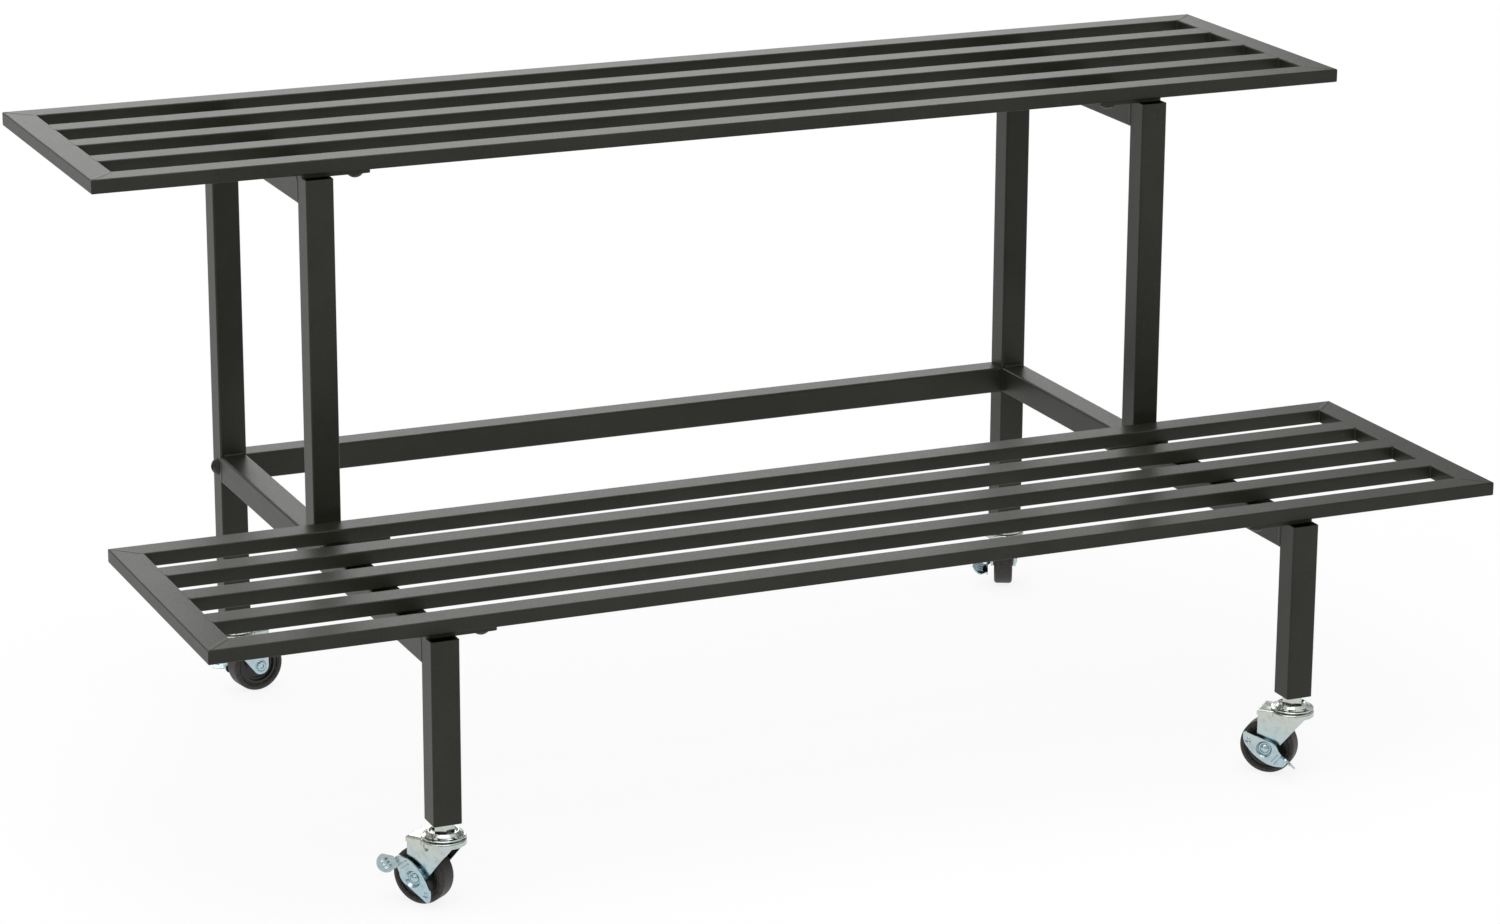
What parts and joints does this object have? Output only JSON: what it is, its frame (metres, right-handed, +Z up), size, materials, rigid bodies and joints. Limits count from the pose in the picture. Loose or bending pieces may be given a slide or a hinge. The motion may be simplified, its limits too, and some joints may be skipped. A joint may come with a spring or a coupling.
{
  "type": "plant table",
  "caption": "Two-tier stepped plant table: long slatted shelves of flat tube on a square-tube frame that rolls on braked swivel casters.",
  "frame": {"origin": "on the floor, under the middle of the table's overall box", "axes": "+X along the shelves to the right as seen from the low front tier, +Y from the low front tier to the high rear tier, +Z up"},
  "size_m": [1.2, 0.6474, 0.5705],
  "materials": {
    "black_frame": "satin black powder coat",
    "black_bolts": "satin black bolt heads",
    "socket_plastic": "black plug",
    "zinc_plate": "bright zinc plate",
    "wheel_rubber": "dark rubber",
    "wheel_hub": "moulded, dark"
  },
  "bodies": {
    "frame": {"cross_rail_left": "black_frame", "cross_rail_right": "black_frame", "front_left_caster_nut": "zinc_plate", "front_left_caster_stem": "zinc_plate", "front_leg_left": "black_frame", "front_leg_right": "black_frame", "front_right_caster_nut": "zinc_plate", "front_right_caster_stem": "zinc_plate", "leg_sockets": "socket_plastic", "lower_back_rail": "black_frame", "lower_front_rail": "black_frame", "lower_left_end": "black_frame", "lower_right_end": "black_frame", "lower_shelf_bolts": "black_bolts", "lower_slat_1": "black_frame", "lower_slat_2": "black_frame", "lower_slat_3": "black_frame", "lower_tabs": "black_frame", "middle_post_left": "black_frame", "middle_post_right": "black_frame", "rear_left_caster_nut": "zinc_plate", "rear_left_caster_stem": "zinc_plate", "rear_leg_left": "black_frame", "rear_leg_right": "black_frame", "rear_rail": "black_frame", "rear_rail_bolts": "black_bolts", "rear_right_caster_nut": "zinc_plate", "rear_right_caster_stem": "zinc_plate", "side_rail_left": "black_frame", "side_rail_right": "black_frame", "upper_back_rail": "black_frame", "upper_front_rail": "black_frame", "upper_left_end": "black_frame", "upper_right_end": "black_frame", "upper_shelf_bolts": "black_bolts", "upper_slat_1": "black_frame", "upper_slat_2": "black_frame", "upper_slat_3": "black_frame", "upper_tabs": "black_frame"},
    "front_left_swivel": {"front_left_caster_axle": "zinc_plate", "front_left_caster_fork": "zinc_plate"},
    "front_left_wheel": {"front_left_caster_hub": "wheel_hub", "front_left_caster_tyre": "wheel_rubber"},
    "front_left_lever": {"front_left_caster_brake_lever": "zinc_plate"},
    "front_right_swivel": {"front_right_caster_axle": "zinc_plate", "front_right_caster_fork": "zinc_plate"},
    "front_right_wheel": {"front_right_caster_hub": "wheel_hub", "front_right_caster_tyre": "wheel_rubber"},
    "front_right_lever": {"front_right_caster_brake_lever": "zinc_plate"},
    "rear_left_swivel": {"rear_left_caster_axle": "zinc_plate", "rear_left_caster_fork": "zinc_plate"},
    "rear_left_wheel": {"rear_left_caster_hub": "wheel_hub", "rear_left_caster_tyre": "wheel_rubber"},
    "rear_left_lever": {"rear_left_caster_brake_lever": "zinc_plate"},
    "rear_right_swivel": {"rear_right_caster_axle": "zinc_plate", "rear_right_caster_fork": "zinc_plate"},
    "rear_right_wheel": {"rear_right_caster_hub": "wheel_hub", "rear_right_caster_tyre": "wheel_rubber"},
    "rear_right_lever": {"rear_right_caster_brake_lever": "zinc_plate"}
  },
  "joints": [
    {"name": "front_left_swivel_turn", "type": "hinge", "parent": "frame", "child": "front_left_swivel", "pos_m": [-0.4025, -0.29598, 0.061], "axis": [0, 0, 1], "continuous": true},
    {"name": "front_left_wheel_spin", "type": "hinge", "parent": "front_left_swivel", "child": "front_left_wheel", "pos_m": [-0.41481, -0.28022, 0.025], "axis": [-0.788, -0.6157, 0], "continuous": true},
    {"name": "front_left_brake_press", "type": "hinge", "parent": "front_left_swivel", "child": "front_left_lever", "pos_m": [-0.41481, -0.28022, 0.025], "axis": [0.788, 0.6157, 0], "range_deg": [0, 165]},
    {"name": "front_right_swivel_turn", "type": "hinge", "parent": "frame", "child": "front_right_swivel", "pos_m": [0.4025, -0.29598, 0.061], "axis": [0, 0, 1], "continuous": true},
    {"name": "front_right_wheel_spin", "type": "hinge", "parent": "front_right_swivel", "child": "front_right_wheel", "pos_m": [0.38861, -0.2816, 0.025], "axis": [-0.7193, -0.6947, 0], "continuous": true},
    {"name": "front_right_brake_press", "type": "hinge", "parent": "front_right_swivel", "child": "front_right_lever", "pos_m": [0.38861, -0.2816, 0.025], "axis": [0.7193, 0.6947, 0], "range_deg": [-165, 0]},
    {"name": "rear_left_swivel_turn", "type": "hinge", "parent": "frame", "child": "rear_left_swivel", "pos_m": [-0.4025, 0.27902, 0.061], "axis": [0, 0, 1], "continuous": true},
    {"name": "rear_left_wheel_spin", "type": "hinge", "parent": "rear_left_swivel", "child": "rear_left_wheel", "pos_m": [-0.38287, 0.28283, 0.025], "axis": [-0.1908, 0.9816, 0], "continuous": true},
    {"name": "rear_left_brake_press", "type": "hinge", "parent": "rear_left_swivel", "child": "rear_left_lever", "pos_m": [-0.38287, 0.28283, 0.025], "axis": [0.1908, -0.9816, 0], "range_deg": [-153, 12]},
    {"name": "rear_right_swivel_turn", "type": "hinge", "parent": "frame", "child": "rear_right_swivel", "pos_m": [0.4025, 0.27902, 0.061], "axis": [0, 0, 1], "continuous": true},
    {"name": "rear_right_wheel_spin", "type": "hinge", "parent": "rear_right_swivel", "child": "rear_right_wheel", "pos_m": [0.41127, 0.29699, 0.025], "axis": [-0.8988, 0.4384, 0], "continuous": true},
    {"name": "rear_right_brake_press", "type": "hinge", "parent": "rear_right_swivel", "child": "rear_right_lever", "pos_m": [0.41127, 0.29699, 0.025], "axis": [0.8988, -0.4384, 0], "range_deg": [-156, 9]}
  ]
}
